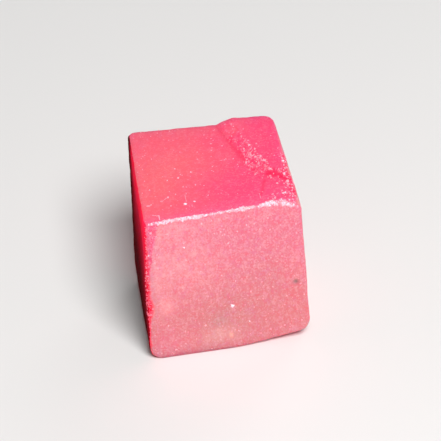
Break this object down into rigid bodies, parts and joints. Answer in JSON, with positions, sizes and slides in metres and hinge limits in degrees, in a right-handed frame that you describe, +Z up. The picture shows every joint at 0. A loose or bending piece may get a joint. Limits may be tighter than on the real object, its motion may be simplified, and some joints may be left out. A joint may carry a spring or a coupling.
{
  "type": "ruby crystal",
  "caption": "Single ruby crystal, a near-cubic parting block with a frosted front, a broken ledge on top and chipped edges, standing on its flat base.",
  "frame": {"origin": "centre of the flat base, on the surface that the crystal stands on", "axes": "+Z up through the height of the crystal, +X to the right across the front face, +Y from the front face to the back face"},
  "size_m": [0.0147, 0.0137, 0.0172],
  "materials": {
    "ruby": "frosted translucent ruby with satin faces and crushed white edges"
  },
  "bodies": {
    "root": {"ruby_crystal": "ruby"}
  },
  "joints": []
}
